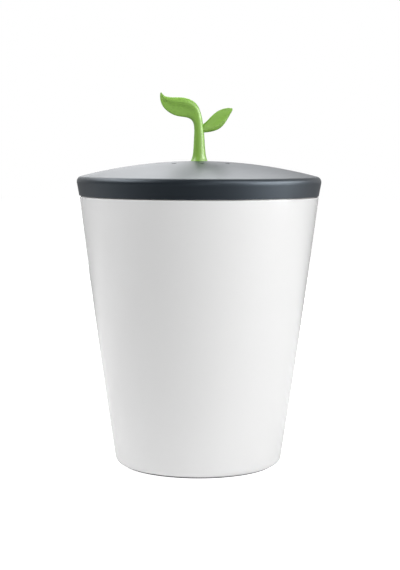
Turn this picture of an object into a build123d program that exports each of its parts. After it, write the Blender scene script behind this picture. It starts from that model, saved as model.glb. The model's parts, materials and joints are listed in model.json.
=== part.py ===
from build123d import *

import os
from math import asin, atan, atan2, cos, degrees, hypot, radians, sin, sqrt

# Kitchen compost bin: a tapered white crock, a liner bucket that hangs in it
# and lifts out by its own bail, and a domed, vented lid with a charcoal filter
# underneath and a green sprout for a handle.
# The origin is on the floor, on the crock's axis. +Z is up and the front is -Y.

# Crock
RIM_DIAMETER = 193.0  # outside, just under the lid
CROCK_BASE_DIAMETER = 134.5  # outside, where the side would meet the base unrounded
CROCK_HEIGHT = 216.6  # from the base to the shoulder under the lid
CROCK_BELLY = 0.73  # how far the side bows out of a straight cone
CROCK_WALL = 4.0
CROCK_FLOOR = 4.0
CROCK_BASE_ROUNDING = 8.5
CROCK_INNER_ROUNDING = 5.0
SHOULDER_ROUNDING = 0.5
NECK_HEIGHT = 5.4
NECK_CLEARANCE = 0.35  # between the neck and the inside of the lid's band
NECK_ROUNDING = 0.4

# Ring that the crock stands on
FOOT_STAND = 1.0  # how far it holds the base off the floor
FOOT_RING_INSET = 4.75  # from where the side would meet the base to the ring
FOOT_RING_WIDTH = 5.5
FOOT_RING_SEAT = 1.5  # how deep it is let into the base
FOOT_RING_CLEARANCE = 0.1
FOOT_RING_ROUNDING = 0.4

# Bucket
BUCKET_BASE_CLEARANCE = 3.96  # from the crock's inside to where the side would meet the base
BUCKET_WALL = 1.8
BUCKET_FLOOR = 2.0
BUCKET_BASE_ROUNDING = 10.0
BUCKET_STAND_OFF = 11.0  # from the crock's floor to the bucket's base
BUCKET_CLEARANCE = 0.6  # between the bucket and the crock's neck
FLANGE_THICKNESS = 1.8
FLANGE_ROUNDING = 0.5
MOUTH_ROUNDING = 0.7

# Bail and what carries it
PIVOT_DEPTH = 15.0  # from the flange's underside to the pivot
BAIL_WIDTH = 7.0
BAIL_THICKNESS = 5.0
BAIL_ROUNDING = 1.5
BAIL_SIDE_CLEARANCE = 0.5
BAIL_GRIP_WIDTH = 10.0
BAIL_GRIP_THICKNESS = 8.0
BAIL_GRIP_ROUNDING = 2.5
BAIL_GRIP_ANGLE = 56.0
BARREL_DIAMETER = 10.0
PEG_DIAMETER = 6.0
PEG_CLEARANCE = 0.08
PEG_END_CLEARANCE = 0.5
BOSS_DIAMETER = 13.0
BOSS_HEIGHT = 3.2
SOCKET_DEPTH = 4.0
REST_WIDTH = 5.0
REST_HEIGHT = 9.0
REST_LEDGE = 1.8  # how much of the strap's width lies on a rest
REST_LIP = 1.5  # height of a rest's inner end
REST_CLEARANCE = 0.2
REST_ANGLES = (38.0, 142.0)

# Lid
LID_OVERHANG = 2.0  # how far its rounded shoulder reaches past the crock's rim
LID_WALL = 2.2
BAND_GAP = 0.6  # between the crock's shoulder and the band
BAND_HEIGHT = 11.2  # from the band's lower edge to the middle of the lid's shoulder
LID_SHOULDER_RADIUS = 4.6
DOME_RADIUS = 377.0
PLUG_DEPTH = 4.3  # how far the plug ring reaches below the top of the flange
PLUG_WALL = 2.2
PLUG_CLEARANCE = 1.2
LAND_WALL = 2.0  # ring that presses on the seal
VENT_DIAMETER = 4.0
VENT_CIRCLE = 72.0
VENT_COUNT = 10
VENT_TURN = 3.0  # how far the front vent lies round from the front, in degrees
HANDLE_PAD_DIAMETER = 16.0
HANDLE_PAD_HEIGHT = 1.2
FILTER_STOP_THICKNESS = 1.6
FILTER_STOP_COUNT = 5
FILTER_STOP_INNER_DIAMETER = 26.0

# Seal
SEAL_THICKNESS = 1.5
SEAL_CLEARANCE = 0.1
SEAL_MARGIN = 0.5  # from the seal's edge to the flange's edge
SEAL_ROUNDING = 0.4

# Sprout handle
SPROUT_HEIGHT = 55.0  # from the top of the dome to the leaf's tip
STEM_DIAMETER = 9.1
LEAF_REACH = 31.0  # from the stem's axis to the leaf's outer edge
LEAF_WIDTH = 16.2
LEAF_THICKNESS = 7.5
SMALL_LEAF_REACH = 26.4
SMALL_LEAF_RISE = 41.6
SMALL_LEAF_WIDTH = 14.0
SMALL_LEAF_THICKNESS = 5.0
HANDLE_SEAT_DEPTH = 0.45  # how deep the foot is let into the dome
HANDLE_SEAT_CLEARANCE = 0.15
TENON_WIDTH = 7.0
TENON_ROUNDING = 1.2
TENON_CLEARANCE = 0.1
TENON_SHORTFALL = 0.4  # how far it ends short of the washer

# Screw and washer that hold the sprout
SCREW_DIAMETER = 4.0
SCREW_LENGTH = 14.0
SCREW_HEAD_DIAMETER = 8.0
SCREW_HEAD_HEIGHT = 2.4
SCREW_HEAD_ROUNDING = 1.0
SCREW_CLEARANCE = 0.05
SCREW_END_CLEARANCE = 0.5
SCREW_RECESS_LENGTH = 4.4
SCREW_RECESS_WIDTH = 1.1
SCREW_RECESS_DEPTH = 1.3
WASHER_DIAMETER = 12.0
WASHER_THICKNESS = 1.0
WASHER_CLEARANCE = 0.15

# Filters and the cover that holds them
FILTER_DIAMETER = 92.0
FILTER_THICKNESS = 5.0
FILTER_ROUNDING = 0.8
FILTER_HEAD_CLEARANCE = 0.3
FILTER_SIDE_CLEARANCE = 0.8
HOUSING_WALL = 1.8
HOUSING_GAP = 0.5
LUG_COUNT = 3
LUG_ANGLE = 24.0
LUG_REACH = 1.3
LUG_THICKNESS = 1.5
LUG_RISE = 0.6
LUG_GAP = 0.3
STOP_ANGLE = 2.0
STOP_GAP_ANGLE = 0.4
COVER_WALL = 1.6
COVER_FLOOR = 2.0
COVER_TURN_CLEARANCE = 0.4
COVER_ROUNDING = 0.8
SLOT_WIDTH = 3.4
INNER_SLOT_CIRCLE = 40.0
INNER_SLOT_LENGTH = 12.0
INNER_SLOT_COUNT = 8
OUTER_SLOT_CIRCLE = 72.0
OUTER_SLOT_LENGTH = 13.0
OUTER_SLOT_COUNT = 16
GRIP_BAR_LENGTH = 46.0
GRIP_BAR_WIDTH = 5.0
GRIP_BAR_HEIGHT = 5.5
GRIP_BAR_ROUNDING = 1.2

OVERRUN = 1.0  # how far a cut runs past what it cuts

# The stem, from its foot up: rise as a share of the sprout's height, then the
# stem's girth as a share of its diameter half way up.
STEM_SHARES = (
    (0.011, 1.47),
    (0.044, 1.33),
    (0.120, 1.125),
    (0.227, 1.00),
    (0.353, 0.93),
)
FOOT_GIRTH_SHARE = 1.54

# The leaf that the stem turns into: reach, rise, width, the angle across it in
# degrees, thickness, and how far its section has changed from round to leaf.
LEAF_SHARES = (
    (0.006, 0.480, 0.457, 0.0, 1.00, 0.00),
    (0.038, 0.597, 0.484, 23.0, 0.99, 0.15),
    (0.105, 0.686, 0.668, 45.0, 0.98, 0.45),
    (0.209, 0.740, 0.868, 53.5, 0.96, 0.80),
    (0.363, 0.778, 0.998, 65.5, 0.93, 1.00),
    (0.552, 0.797, 0.981, 72.5, 0.85, 1.00),
    (0.740, 0.817, 0.779, 73.5, 0.72, 1.00),
    (0.883, 0.853, 0.573, 72.0, 0.56, 1.00),
    (0.959, 0.896, 0.370, 63.0, 0.41, 1.00),
    (0.993, 0.951, 0.201, 54.0, 0.27, 1.00),
    (0.999, 0.993, 0.070, 45.0, 0.13, 1.00),
)

# The small leaf, which starts inside the stem, in the same terms.
SMALL_LEAF_SHARES = (
    (0.083, 0.615, 0.400, -62.0, 1.00, 0.00),
    (0.250, 0.661, 0.579, -76.0, 0.94, 0.40),
    (0.412, 0.726, 0.819, -76.5, 0.90, 0.80),
    (0.582, 0.796, 0.994, -78.5, 0.84, 1.00),
    (0.742, 0.872, 0.799, -80.5, 0.68, 1.00),
    (0.871, 0.945, 0.447, -83.0, 0.46, 1.00),
    (0.970, 0.993, 0.110, -80.0, 0.20, 1.00),
)

# Points round a section, as shares of half its width and half its thickness:
# a circle, and a leaf with a full rolled margin, a dished front and a thin edge.
ROUND_SHARES = tuple((cos(radians(a)), sin(radians(a))) for a in range(0, 360, 45))
LEAF_OUTLINE_SHARES = (
    (1.00, 0.00),
    (0.74, 0.86),
    (0.00, 0.86),
    (-0.72, 0.46),
    (-1.00, 0.00),
    (-0.72, -0.40),
    (0.00, -0.66),
    (0.74, -0.86),
)

# Heights and radii that follow from the sizes above
base_z = FOOT_STAND
floor_z = base_z + CROCK_FLOOR
shoulder_z = base_z + CROCK_HEIGHT
neck_z = shoulder_z + NECK_HEIGHT
flange_z = neck_z + FLANGE_THICKNESS
seal_z = flange_z + SEAL_THICKNESS
rim_r = RIM_DIAMETER / 2
base_r = CROCK_BASE_DIAMETER / 2
ring_r = base_r - FOOT_RING_INSET

# The lid's section: a band that leans out, a rounded shoulder and a dome, each
# tangent to the next
band_z = shoulder_z + BAND_GAP
turn_r = rim_r + LID_OVERHANG - LID_SHOULDER_RADIUS
turn_z = band_z + BAND_HEIGHT
band_span = hypot(turn_r - rim_r, BAND_HEIGHT)
band_slope = degrees(atan2(BAND_HEIGHT, turn_r - rim_r) - asin(LID_SHOULDER_RADIUS / band_span))
band_lean = 90 - band_slope
band_wall = LID_WALL / cos(radians(band_lean))
dome_drop = sqrt((DOME_RADIUS - LID_SHOULDER_RADIUS) ** 2 - turn_r**2)
dome_z = turn_z - dome_drop
dome_start = degrees(atan2(dome_drop, turn_r))
apex_z = dome_z + DOME_RADIUS
underside_z = apex_z - LID_WALL

neck_r = rim_r - band_wall - NECK_CLEARANCE
neck_inner_r = rim_r - CROCK_WALL


def crock_radius(height):
    """Outside radius of the crock's side, which bows out of a straight cone."""
    share = (height - base_z) / CROCK_HEIGHT
    return base_r + (rim_r - base_r) * share + CROCK_BELLY * 4 * share * (1 - share)


bucket_base_z = floor_z + BUCKET_STAND_OFF
bucket_base_r = crock_radius(bucket_base_z) - CROCK_WALL - BUCKET_BASE_CLEARANCE
bucket_top_r = neck_inner_r - BUCKET_CLEARANCE
bucket_slope = (bucket_top_r - bucket_base_r) / (neck_z - bucket_base_z)
bucket_side = BUCKET_WALL / cos(atan(bucket_slope))

pivot_z = neck_z - PIVOT_DEPTH
boss_face_x = bucket_base_r + bucket_slope * (pivot_z - bucket_base_z) - bucket_side - BOSS_HEIGHT
bail_r = boss_face_x - BAIL_SIDE_CLEARANCE
bail_inner_r = bail_r - BAIL_WIDTH
barrel_x = bail_r - BAIL_WIDTH / 2

plug_r = bucket_top_r - bucket_side - PLUG_CLEARANCE
plug_z = flange_z - PLUG_DEPTH
seal_inner_r = plug_r + SEAL_CLEARANCE
seal_outer_r = neck_r - SEAL_MARGIN

handle_seat_z = apex_z - HANDLE_SEAT_DEPTH
foot_r = STEM_DIAMETER / 2 * FOOT_GIRTH_SHARE
pad_z = underside_z - HANDLE_PAD_HEIGHT
tenon_z = pad_z + TENON_SHORTFALL
head_z = pad_z - WASHER_THICKNESS
filter_top_z = head_z - SCREW_HEAD_HEIGHT - FILTER_HEAD_CLEARANCE
filter_mid_z = filter_top_z - FILTER_THICKNESS
cover_floor_z = filter_mid_z - FILTER_THICKNESS
cover_z = cover_floor_z - COVER_FLOOR
housing_z = cover_floor_z + HOUSING_GAP
housing_inner_r = FILTER_DIAMETER / 2 + FILTER_SIDE_CLEARANCE
housing_r = housing_inner_r + HOUSING_WALL
lug_z = housing_z + LUG_RISE
lug_top_z = lug_z + LUG_THICKNESS
lug_r = housing_r + LUG_REACH
tab_z = lug_top_z + LUG_GAP
tab_top_z = tab_z + LUG_THICKNESS
tab_r = housing_r + COVER_TURN_CLEARANCE
cover_inner_r = lug_r + COVER_TURN_CLEARANCE
cover_r = cover_inner_r + COVER_WALL


def bucket_radius(height):
    """Outside radius of the bucket's straight side."""
    return bucket_base_r + bucket_slope * (height - bucket_base_z)


def side_points(low, high, inset):
    """Three points up the crock's side, set in from its outside."""
    heights = (low, (low + high) / 2, high)
    return [(crock_radius(height) - inset, height) for height in heights]


def corner(section, radius, height):
    """The corner of a section nearest to a radius and a height."""
    return section.vertices().sort_by_distance((radius, height))[0]


def radial_plane(angle):
    """Upright plane through the axis, with its X pointing out at that angle."""
    out = (cos(radians(angle)), sin(radians(angle)), 0)
    return Plane((0, 0, 0), x_dir=out, z_dir=(out[1], -out[0], 0))


def lug_starts(first):
    """Angles at which the bayonet's lugs, tabs or stops start."""
    return [first + 360 * k / LUG_COUNT for k in range(LUG_COUNT)]


def lid_outline(wall):
    """Section of the space under the lid's skin, that far inside its outside."""
    turn = (turn_r, turn_z)
    lip_r = rim_r - wall / cos(radians(band_lean))
    with BuildLine() as outline:
        shoulder = CenterArc(turn, LID_SHOULDER_RADIUS - wall, -band_lean, dome_start + band_lean)
        dome = CenterArc((0, dome_z), DOME_RADIUS - wall, dome_start, 90 - dome_start)
        Line((lip_r, band_z), shoulder @ 0)
        Polyline(dome @ 1, (0, band_z), (lip_r, band_z))
    return outline.line


def leaf_plane(reach, rise, angle):
    """Plane of a section of the sprout, square to its spine."""
    across = (cos(radians(angle)), 0, sin(radians(angle)))
    along = (-sin(radians(angle)), 0, cos(radians(angle)))
    return Plane((reach, 0, rise), x_dir=across, z_dir=along)


def leaf_points(width, thickness, leafiness):
    """Points round a section that lies between a circle and a leaf's outline."""
    points = []
    for (round_u, round_v), (leaf_u, leaf_v) in zip(ROUND_SHARES, LEAF_OUTLINE_SHARES):
        u = round_u + (leaf_u - round_u) * leafiness
        v = round_v + (leaf_v - round_v) * leafiness
        points.append((u * width / 2, v * thickness / 2))
    return points


# Crock, with a neck that the lid's band reaches over
with BuildPart() as outer_crock:
    with BuildSketch(Plane.XZ) as section:
        with BuildLine():
            outside = ThreePointArc(*side_points(base_z, shoulder_z, 0))
            inside = ThreePointArc(*side_points(floor_z, shoulder_z, CROCK_WALL))
            Polyline(
                outside @ 1, (neck_r, shoulder_z), (neck_r, neck_z), (neck_inner_r, neck_z), inside @ 1
            )
            Polyline(inside @ 0, (0, floor_z), (0, base_z), outside @ 0)
        make_face()
        fillet(corner(section, base_r, base_z), CROCK_BASE_ROUNDING)
        fillet(corner(section, crock_radius(floor_z) - CROCK_WALL, floor_z), CROCK_INNER_ROUNDING)
        fillet(corner(section, rim_r, shoulder_z), SHOULDER_ROUNDING)
        fillet(corner(section, neck_r, neck_z), NECK_ROUNDING)
        fillet(corner(section, neck_inner_r, neck_z), NECK_ROUNDING)
    revolve(axis=Axis.Z)
    # Groove for the ring that it stands on
    with BuildSketch(Plane.XY.offset(base_z - OVERRUN)):
        Circle(ring_r + FOOT_RING_CLEARANCE)
        Circle(ring_r - FOOT_RING_WIDTH - FOOT_RING_CLEARANCE, mode=Mode.SUBTRACT)
    extrude(amount=FOOT_RING_SEAT + OVERRUN, mode=Mode.SUBTRACT)

# Non-slip ring, let into the base
with BuildPart() as foot_ring:
    with BuildSketch(Plane.XZ) as section:
        with Locations((ring_r, 0)):
            Rectangle(FOOT_RING_WIDTH, FOOT_STAND + FOOT_RING_SEAT, align=(Align.MAX, Align.MIN))
        fillet(corner(section, ring_r, 0), FOOT_RING_ROUNDING)
        fillet(corner(section, ring_r - FOOT_RING_WIDTH, 0), FOOT_RING_ROUNDING)
    revolve(axis=Axis.Z)

# What stands on the bucket's inner wall: bosses for the bail's pegs, and rests
# for the bail to lie on
rest_z = pivot_z - BAIL_THICKNESS / 2 - REST_CLEARANCE
with BuildPart() as bucket_fittings:
    for turn in (0, 180):
        with BuildSketch(Plane.YZ.rotated((0, 0, turn)).offset(boss_face_x)):
            with Locations((0, pivot_z)):
                Circle(BOSS_DIAMETER / 2)
        extrude(amount=rim_r - boss_face_x)
    for angle in REST_ANGLES:
        with BuildSketch(radial_plane(angle)):
            rest_r = bail_r - REST_LEDGE
            with BuildLine():
                Polyline(
                    (rest_r, rest_z),
                    (rim_r, rest_z),
                    (rim_r, rest_z - REST_HEIGHT),
                    (bucket_radius(rest_z - REST_HEIGHT) - bucket_side, rest_z - REST_HEIGHT),
                    (rest_r, rest_z - REST_LIP),
                    close=True,
                )
            make_face()
        extrude(amount=REST_WIDTH / 2, both=True)

# Space inside the bucket, without those fittings
with BuildPart() as bucket_space:
    inner_floor_z = bucket_base_z + BUCKET_FLOOR
    with BuildSketch(Plane.XZ) as section:
        with BuildLine():
            Polyline(
                (0, inner_floor_z),
                (bucket_radius(inner_floor_z) - bucket_side, inner_floor_z),
                (bucket_radius(flange_z) - bucket_side, flange_z),
                (0, flange_z),
                close=True,
            )
        make_face()
        fillet(
            corner(section, bucket_radius(inner_floor_z) - bucket_side, inner_floor_z),
            BUCKET_BASE_ROUNDING - BUCKET_WALL,
        )
    revolve(axis=Axis.Z)
    add(bucket_fittings.part, mode=Mode.SUBTRACT)

# Liner bucket, which hangs by its flange on the crock's neck
with BuildPart() as inner_bucket:
    with BuildSketch(Plane.XZ) as section:
        with BuildLine():
            Polyline(
                (0, bucket_base_z),
                (bucket_base_r, bucket_base_z),
                (bucket_top_r, neck_z),
                (neck_r, neck_z),
                (neck_r, flange_z),
                (0, flange_z),
                close=True,
            )
        make_face()
        fillet(corner(section, bucket_base_r, bucket_base_z), BUCKET_BASE_ROUNDING)
        fillet(corner(section, neck_r, flange_z), FLANGE_ROUNDING)
    revolve(axis=Axis.Z)
    add(bucket_space.part, mode=Mode.SUBTRACT)
    for turn in (0, 180):
        with BuildSketch(Plane.YZ.rotated((0, 0, turn)).offset(boss_face_x)):
            with Locations((0, pivot_z)):
                Circle(PEG_DIAMETER / 2 + PEG_CLEARANCE)
        extrude(amount=SOCKET_DEPTH, mode=Mode.SUBTRACT)
    rim_edges = inner_bucket.edges().group_by(Axis.Z)[-1]
    fillet(rim_edges.sort_by(SortBy.RADIUS)[0], MOUTH_ROUNDING)

# Bail: a half ring with a fuller grip, and a barrel and a peg at each end
with BuildPart() as bail_handle:
    grip_r = bail_r - BAIL_GRIP_WIDTH / 2
    with BuildSketch(Plane.XY.offset(pivot_z)):
        SlotArc(CenterArc((0, 0), barrel_x, 0, 180, mode=Mode.PRIVATE), BAIL_WIDTH)
    extrude(amount=BAIL_THICKNESS / 2, both=True)
    fillet(bail_handle.edges().filter_by(Plane.XY), BAIL_ROUNDING)
    with BuildPart(mode=Mode.PRIVATE) as grip:
        grip_arc = CenterArc((0, 0), grip_r, 90 - BAIL_GRIP_ANGLE / 2, BAIL_GRIP_ANGLE, mode=Mode.PRIVATE)
        with BuildSketch(Plane.XY.offset(pivot_z)):
            SlotArc(grip_arc, BAIL_GRIP_WIDTH)
        extrude(amount=BAIL_GRIP_THICKNESS / 2, both=True)
        fillet(grip.edges().filter_by(Plane.XY), BAIL_GRIP_ROUNDING)
    add(grip.part)
    for turn in (0, 180):
        with BuildSketch(Plane.YZ.rotated((0, 0, turn)).offset(bail_inner_r)):
            with Locations((0, pivot_z)):
                Circle(BARREL_DIAMETER / 2)
        extrude(amount=BAIL_WIDTH)
        with BuildSketch(Plane.YZ.rotated((0, 0, turn)).offset(bail_r)):
            with Locations((0, pivot_z)):
                Circle(PEG_DIAMETER / 2)
        extrude(amount=BAIL_SIDE_CLEARANCE + SOCKET_DEPTH - PEG_END_CLEARANCE)

# What stands under the lid: the plug ring, the ring that presses on the seal,
# the filter housing with its bayonet lugs, the filter's stops and the screw's pad
land_r = (seal_inner_r + seal_outer_r + LAND_WALL) / 2
with BuildPart() as lid_fittings:
    for outer, wall, bottom in (
        (plug_r, PLUG_WALL, plug_z),
        (land_r, LAND_WALL, seal_z),
        (housing_r, HOUSING_WALL, housing_z),
    ):
        with BuildSketch(Plane.XY.offset(bottom)):
            Circle(outer)
            Circle(outer - wall, mode=Mode.SUBTRACT)
        extrude(amount=apex_z - bottom)
    for start in lug_starts(-LUG_ANGLE / 2):
        with BuildSketch(radial_plane(start)):
            with Locations((lug_r, lug_z)):
                Rectangle(LUG_REACH + HOUSING_WALL / 2, LUG_THICKNESS, align=(Align.MAX, Align.MIN))
        revolve(axis=Axis.Z, revolution_arc=LUG_ANGLE)
    for start in lug_starts(LUG_ANGLE / 2 + STOP_GAP_ANGLE):
        with BuildSketch(radial_plane(start)):
            with Locations((lug_r, lug_z)):
                Rectangle(LUG_REACH + HOUSING_WALL / 2, tab_top_z - lug_z, align=(Align.MAX, Align.MIN))
        revolve(axis=Axis.Z, revolution_arc=STOP_ANGLE)
    stop_length = housing_inner_r + HOUSING_WALL / 2 - FILTER_STOP_INNER_DIAMETER / 2
    stop_turn = VENT_TURN - 90 + 180 / VENT_COUNT
    with BuildSketch(Plane.XY.offset(filter_top_z)):
        with PolarLocations(FILTER_STOP_INNER_DIAMETER / 2 + stop_length / 2, FILTER_STOP_COUNT, stop_turn):
            Rectangle(stop_length, FILTER_STOP_THICKNESS)
    extrude(amount=apex_z - filter_top_z)
    with BuildSketch(Plane.XY.offset(pad_z)):
        Circle(HANDLE_PAD_DIAMETER / 2)
    extrude(amount=apex_z - pad_z)

# Space under the lid, without those fittings
with BuildPart() as lid_space:
    with BuildSketch(Plane.XZ):
        with BuildLine():
            add(lid_outline(LID_WALL))
        make_face()
    revolve(axis=Axis.Z)
    add(lid_fittings.part, mode=Mode.SUBTRACT)

# Domed lid
with BuildPart() as lid_shell:
    with BuildSketch(Plane.XZ):
        with BuildLine():
            add(lid_outline(0))
        make_face()
    revolve(axis=Axis.Z)
    add(lid_space.part, mode=Mode.SUBTRACT)
    with BuildSketch(Plane.XY.offset(handle_seat_z)):
        Circle(foot_r + HANDLE_SEAT_CLEARANCE)
    extrude(amount=HANDLE_SEAT_DEPTH + OVERRUN, mode=Mode.SUBTRACT)
    with BuildSketch(Plane.XY.offset(pad_z - OVERRUN)):
        RectangleRounded(
            TENON_WIDTH + 2 * TENON_CLEARANCE, TENON_WIDTH + 2 * TENON_CLEARANCE, TENON_ROUNDING
        )
    extrude(amount=handle_seat_z - pad_z + 2 * OVERRUN, mode=Mode.SUBTRACT)
    with BuildSketch(Plane.XY.offset(filter_top_z)):
        with PolarLocations(VENT_CIRCLE / 2, VENT_COUNT, VENT_TURN - 90):
            Circle(VENT_DIAMETER / 2)
    extrude(amount=apex_z - filter_top_z, mode=Mode.SUBTRACT)

# Flat seal round the plug ring, which closes on the bucket's flange
with BuildPart() as lid_seal:
    with BuildSketch(Plane.XZ) as section:
        with Locations((seal_inner_r, flange_z)):
            Rectangle(seal_outer_r - seal_inner_r, SEAL_THICKNESS, align=(Align.MIN, Align.MIN))
        fillet(corner(section, seal_outer_r, seal_z), SEAL_ROUNDING)
        fillet(corner(section, seal_outer_r, flange_z), SEAL_ROUNDING)
    revolve(axis=Axis.Z)

# Sprout: the stem flares at its foot, turns over into one leaf and carries a
# small leaf at its side
with BuildPart() as sprout_handle:
    with BuildSketch(leaf_plane(0, handle_seat_z, 0)):
        with BuildLine():
            Spline(*leaf_points(2 * foot_r, 2 * foot_r, 0), periodic=True)
        make_face()
    for rise, girth in STEM_SHARES:
        with BuildSketch(leaf_plane(0, apex_z + rise * SPROUT_HEIGHT, 0)):
            with BuildLine():
                Spline(*leaf_points(girth * STEM_DIAMETER, girth * STEM_DIAMETER, 0), periodic=True)
            make_face()
    for reach, rise, width, angle, thickness, leafiness in LEAF_SHARES:
        with BuildSketch(leaf_plane(-reach * LEAF_REACH, apex_z + rise * SPROUT_HEIGHT, angle)):
            with BuildLine():
                outline = leaf_points(width * LEAF_WIDTH, thickness * LEAF_THICKNESS, leafiness)
                Spline(*outline, periodic=True)
            make_face()
    loft()
    for reach, rise, width, angle, thickness, leafiness in SMALL_LEAF_SHARES:
        with BuildSketch(leaf_plane(reach * SMALL_LEAF_REACH, apex_z + rise * SMALL_LEAF_RISE, angle)):
            with BuildLine():
                outline = leaf_points(width * SMALL_LEAF_WIDTH, thickness * SMALL_LEAF_THICKNESS, leafiness)
                Spline(*outline, periodic=True)
            make_face()
    loft()
    with BuildSketch(Plane.XY.offset(tenon_z)):
        RectangleRounded(TENON_WIDTH, TENON_WIDTH, TENON_ROUNDING)
    extrude(amount=handle_seat_z - tenon_z)
    with BuildSketch(Plane.XY.offset(tenon_z)):
        Circle(SCREW_DIAMETER / 2 + SCREW_CLEARANCE)
    extrude(amount=head_z + SCREW_LENGTH + SCREW_END_CLEARANCE - tenon_z, mode=Mode.SUBTRACT)

# Screw up into the sprout, from under the lid
with BuildPart() as handle_screw:
    with BuildSketch(Plane.XY.offset(head_z)):
        Circle(SCREW_HEAD_DIAMETER / 2)
    extrude(amount=-SCREW_HEAD_HEIGHT)
    fillet(handle_screw.edges().sort_by(Axis.Z)[0], SCREW_HEAD_ROUNDING)
    with BuildSketch(Plane.XY.offset(head_z)):
        Circle(SCREW_DIAMETER / 2)
    extrude(amount=SCREW_LENGTH)
    with BuildSketch(Plane.XY.offset(head_z - SCREW_HEAD_HEIGHT)):
        Rectangle(SCREW_RECESS_LENGTH, SCREW_RECESS_WIDTH)
        Rectangle(SCREW_RECESS_WIDTH, SCREW_RECESS_LENGTH)
    extrude(amount=SCREW_RECESS_DEPTH, mode=Mode.SUBTRACT)

with BuildPart() as handle_washer:
    with BuildSketch(Plane.XY.offset(head_z)):
        Circle(WASHER_DIAMETER / 2)
        Circle(SCREW_DIAMETER / 2 + WASHER_CLEARANCE, mode=Mode.SUBTRACT)
    extrude(amount=WASHER_THICKNESS)

# Two charcoal discs, one on the other
with BuildPart() as upper_charcoal_filter:
    with BuildSketch(Plane.XY.offset(filter_mid_z)):
        Circle(FILTER_DIAMETER / 2)
    extrude(amount=FILTER_THICKNESS)
    fillet(upper_charcoal_filter.edges().filter_by(GeomType.CIRCLE), FILTER_ROUNDING)

with BuildPart() as lower_charcoal_filter:
    with BuildSketch(Plane.XY.offset(cover_floor_z)):
        Circle(FILTER_DIAMETER / 2)
    extrude(amount=FILTER_THICKNESS)
    fillet(lower_charcoal_filter.edges().filter_by(GeomType.CIRCLE), FILTER_ROUNDING)

# Cover that turns onto the housing's lugs, with slots for the air
with BuildPart() as filter_cover:
    with BuildSketch(Plane.XZ) as section:
        with BuildLine():
            Polyline(
                (0, cover_z),
                (cover_r, cover_z),
                (cover_r, tab_top_z),
                (cover_inner_r, tab_top_z),
                (cover_inner_r, cover_floor_z),
                (0, cover_floor_z),
                close=True,
            )
        make_face()
        fillet(corner(section, cover_r, cover_z), COVER_ROUNDING)
    revolve(axis=Axis.Z)
    for start in lug_starts(-LUG_ANGLE / 2):
        with BuildSketch(radial_plane(start)):
            with Locations((tab_r, tab_z)):
                Rectangle(
                    cover_inner_r + COVER_WALL / 2 - tab_r, LUG_THICKNESS, align=(Align.MIN, Align.MIN)
                )
        revolve(axis=Axis.Z, revolution_arc=LUG_ANGLE)
    with BuildSketch(Plane.XY.offset(cover_z)):
        with PolarLocations(INNER_SLOT_CIRCLE / 2, INNER_SLOT_COUNT, 180 / INNER_SLOT_COUNT):
            SlotOverall(INNER_SLOT_LENGTH, SLOT_WIDTH)
        with PolarLocations(OUTER_SLOT_CIRCLE / 2, OUTER_SLOT_COUNT):
            SlotOverall(OUTER_SLOT_LENGTH, SLOT_WIDTH)
    extrude(amount=COVER_FLOOR, mode=Mode.SUBTRACT)
    with BuildSketch(Plane.XY.offset(cover_z)):
        SlotOverall(GRIP_BAR_LENGTH, GRIP_BAR_WIDTH)
    extrude(amount=-GRIP_BAR_HEIGHT)
    fillet(filter_cover.faces().sort_by(Axis.Z)[0].edges(), GRIP_BAR_ROUNDING)

pieces = {
    "outer_crock": outer_crock,
    "foot_ring": foot_ring,
    "inner_bucket": inner_bucket,
    "bail_handle": bail_handle,
    "lid_shell": lid_shell,
    "lid_seal": lid_seal,
    "sprout_handle": sprout_handle,
    "handle_screw": handle_screw,
    "handle_washer": handle_washer,
    "upper_charcoal_filter": upper_charcoal_filter,
    "lower_charcoal_filter": lower_charcoal_filter,
    "filter_cover": filter_cover,
}
os.makedirs("parts", exist_ok=True)
for name, piece in pieces.items():
    piece.part.label = name
    export_step(piece.part, f"parts/{name}.step")
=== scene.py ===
"""Kitchen compost bin: a tapered white crock under a domed slate lid, with a sprout for a handle.

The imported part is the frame. The pieces that show most are modelled again here, finer than the
solids, and the others keep their CAD mesh under a finish of their own. Sizes are in millimetres,
in the part's own frame, until a mesh is made from them.
"""

from __future__ import annotations

import json
import logging
import math
from collections.abc import Callable, Iterable, Mapping, Sequence
from dataclasses import dataclass
from enum import Enum
from typing import Any

import bmesh
import bpy
from mathutils import Matrix, Vector

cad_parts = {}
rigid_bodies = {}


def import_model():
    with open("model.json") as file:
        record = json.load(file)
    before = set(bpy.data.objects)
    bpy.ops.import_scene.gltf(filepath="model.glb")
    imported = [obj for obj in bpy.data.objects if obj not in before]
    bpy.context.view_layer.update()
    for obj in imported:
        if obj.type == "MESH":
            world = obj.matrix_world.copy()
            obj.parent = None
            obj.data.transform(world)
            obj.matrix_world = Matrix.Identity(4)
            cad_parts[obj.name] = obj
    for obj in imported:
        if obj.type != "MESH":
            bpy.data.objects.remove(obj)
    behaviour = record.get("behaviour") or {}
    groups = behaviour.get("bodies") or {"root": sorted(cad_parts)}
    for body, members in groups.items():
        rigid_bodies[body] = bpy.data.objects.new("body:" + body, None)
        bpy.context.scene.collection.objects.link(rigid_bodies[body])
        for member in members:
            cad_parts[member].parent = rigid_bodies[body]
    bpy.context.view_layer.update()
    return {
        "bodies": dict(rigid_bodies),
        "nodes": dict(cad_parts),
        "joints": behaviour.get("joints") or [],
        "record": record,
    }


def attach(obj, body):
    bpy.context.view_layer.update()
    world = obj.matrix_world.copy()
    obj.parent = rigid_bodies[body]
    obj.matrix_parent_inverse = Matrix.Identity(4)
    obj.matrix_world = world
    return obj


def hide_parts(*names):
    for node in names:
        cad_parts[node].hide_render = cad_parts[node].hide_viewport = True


LOG = logging.getLogger("compost_bin")
MM = 0.001
UP = (0.0, 0.0, 1.0)
FORWARD = (0.0, 1.0, 0.0)
ORIGIN = (0.0, 0.0, 0.0)
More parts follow.
